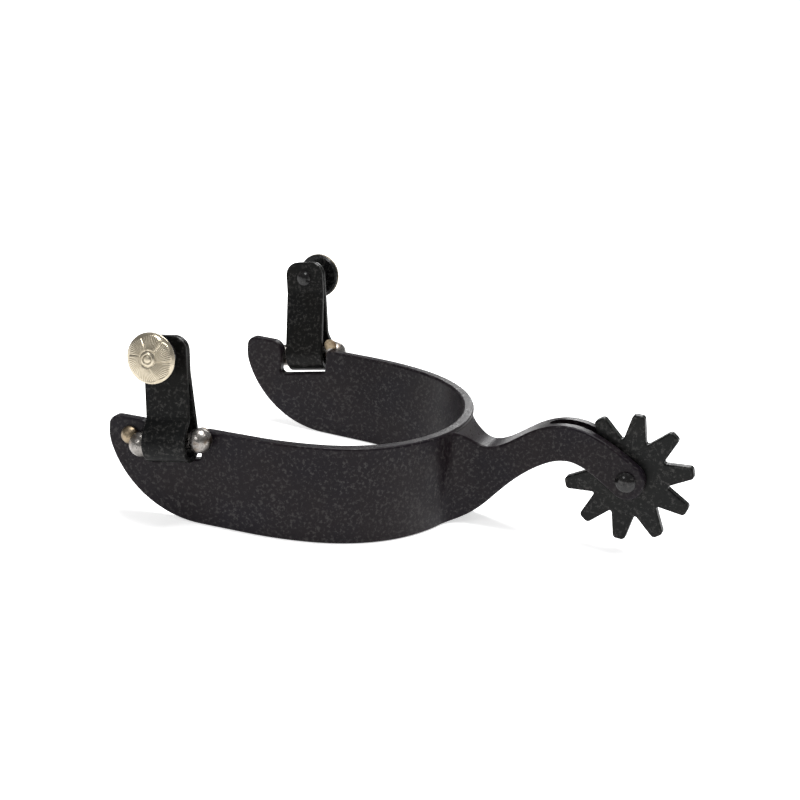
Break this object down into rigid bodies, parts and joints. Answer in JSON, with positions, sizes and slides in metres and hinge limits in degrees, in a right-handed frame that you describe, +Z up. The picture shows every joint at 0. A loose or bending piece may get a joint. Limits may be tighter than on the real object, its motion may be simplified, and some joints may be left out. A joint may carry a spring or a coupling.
{
  "type": "western spur",
  "caption": "Western riding spur: U-shaped steel heel band, curved shank with a free-turning star rowel, and hinged hangers with domed strap buttons.",
  "frame": {"origin": "on the band's bottom edge at the back of the heel, on the plane of symmetry and at the middle of the band's thickness", "axes": "+X backwards to the rowel, +Y to the wearer's right, +Z up; the band's bottom edge lies in Z = 0"},
  "size_m": [0.1426, 0.1133, 0.051],
  "materials": {
    "black_steel": "satin black oxide",
    "black_rowel_steel": "satin black oxide",
    "black_strap_steel": "satin black oxide",
    "bright_steel": "satin",
    "weld_steel": "heat-tinted weld bead",
    "nickel_silver": "engraved satin"
  },
  "bodies": {
    "heel_frame": {"heel_band": "black_steel", "shank": "black_steel", "rowel_pin": "black_steel", "left_hinge_pin": "bright_steel", "left_front_ball": "bright_steel", "left_rear_ball": "bright_steel", "left_front_weld": "weld_steel", "left_rear_weld": "weld_steel", "right_hinge_pin": "bright_steel", "right_front_ball": "bright_steel", "right_rear_ball": "bright_steel", "right_front_weld": "weld_steel", "right_rear_weld": "weld_steel"},
    "rowel_wheel": {"rowel": "black_rowel_steel"},
    "left_hanger_group": {"left_hanger": "black_strap_steel", "left_button_post": "black_strap_steel", "left_button_collar": "black_strap_steel", "left_button_back": "black_strap_steel", "left_button_cap": "nickel_silver"},
    "right_hanger_group": {"right_hanger": "black_strap_steel", "right_button_post": "black_strap_steel", "right_button_collar": "black_strap_steel", "right_button_back": "black_strap_steel", "right_button_cap": "nickel_silver"}
  },
  "joints": [
    {"name": "rowel_spin", "type": "hinge", "parent": "heel_frame", "child": "rowel_wheel", "pos_m": [0.0462, 0, 0.0199], "axis": [0, 1, 0], "continuous": true},
    {"name": "left_hanger_hinge", "type": "hinge", "parent": "heel_frame", "child": "left_hanger_group", "pos_m": [-0.06146, -0.0453, 0.02144], "axis": [0.9694, 0.0423, 0.2419], "range_deg": [-58, 137]},
    {"name": "right_hanger_hinge", "type": "hinge", "parent": "heel_frame", "child": "right_hanger_group", "pos_m": [-0.06146, 0.0453, 0.02144], "axis": [-0.9694, 0.0423, -0.2419], "range_deg": [-72, 123]}
  ]
}
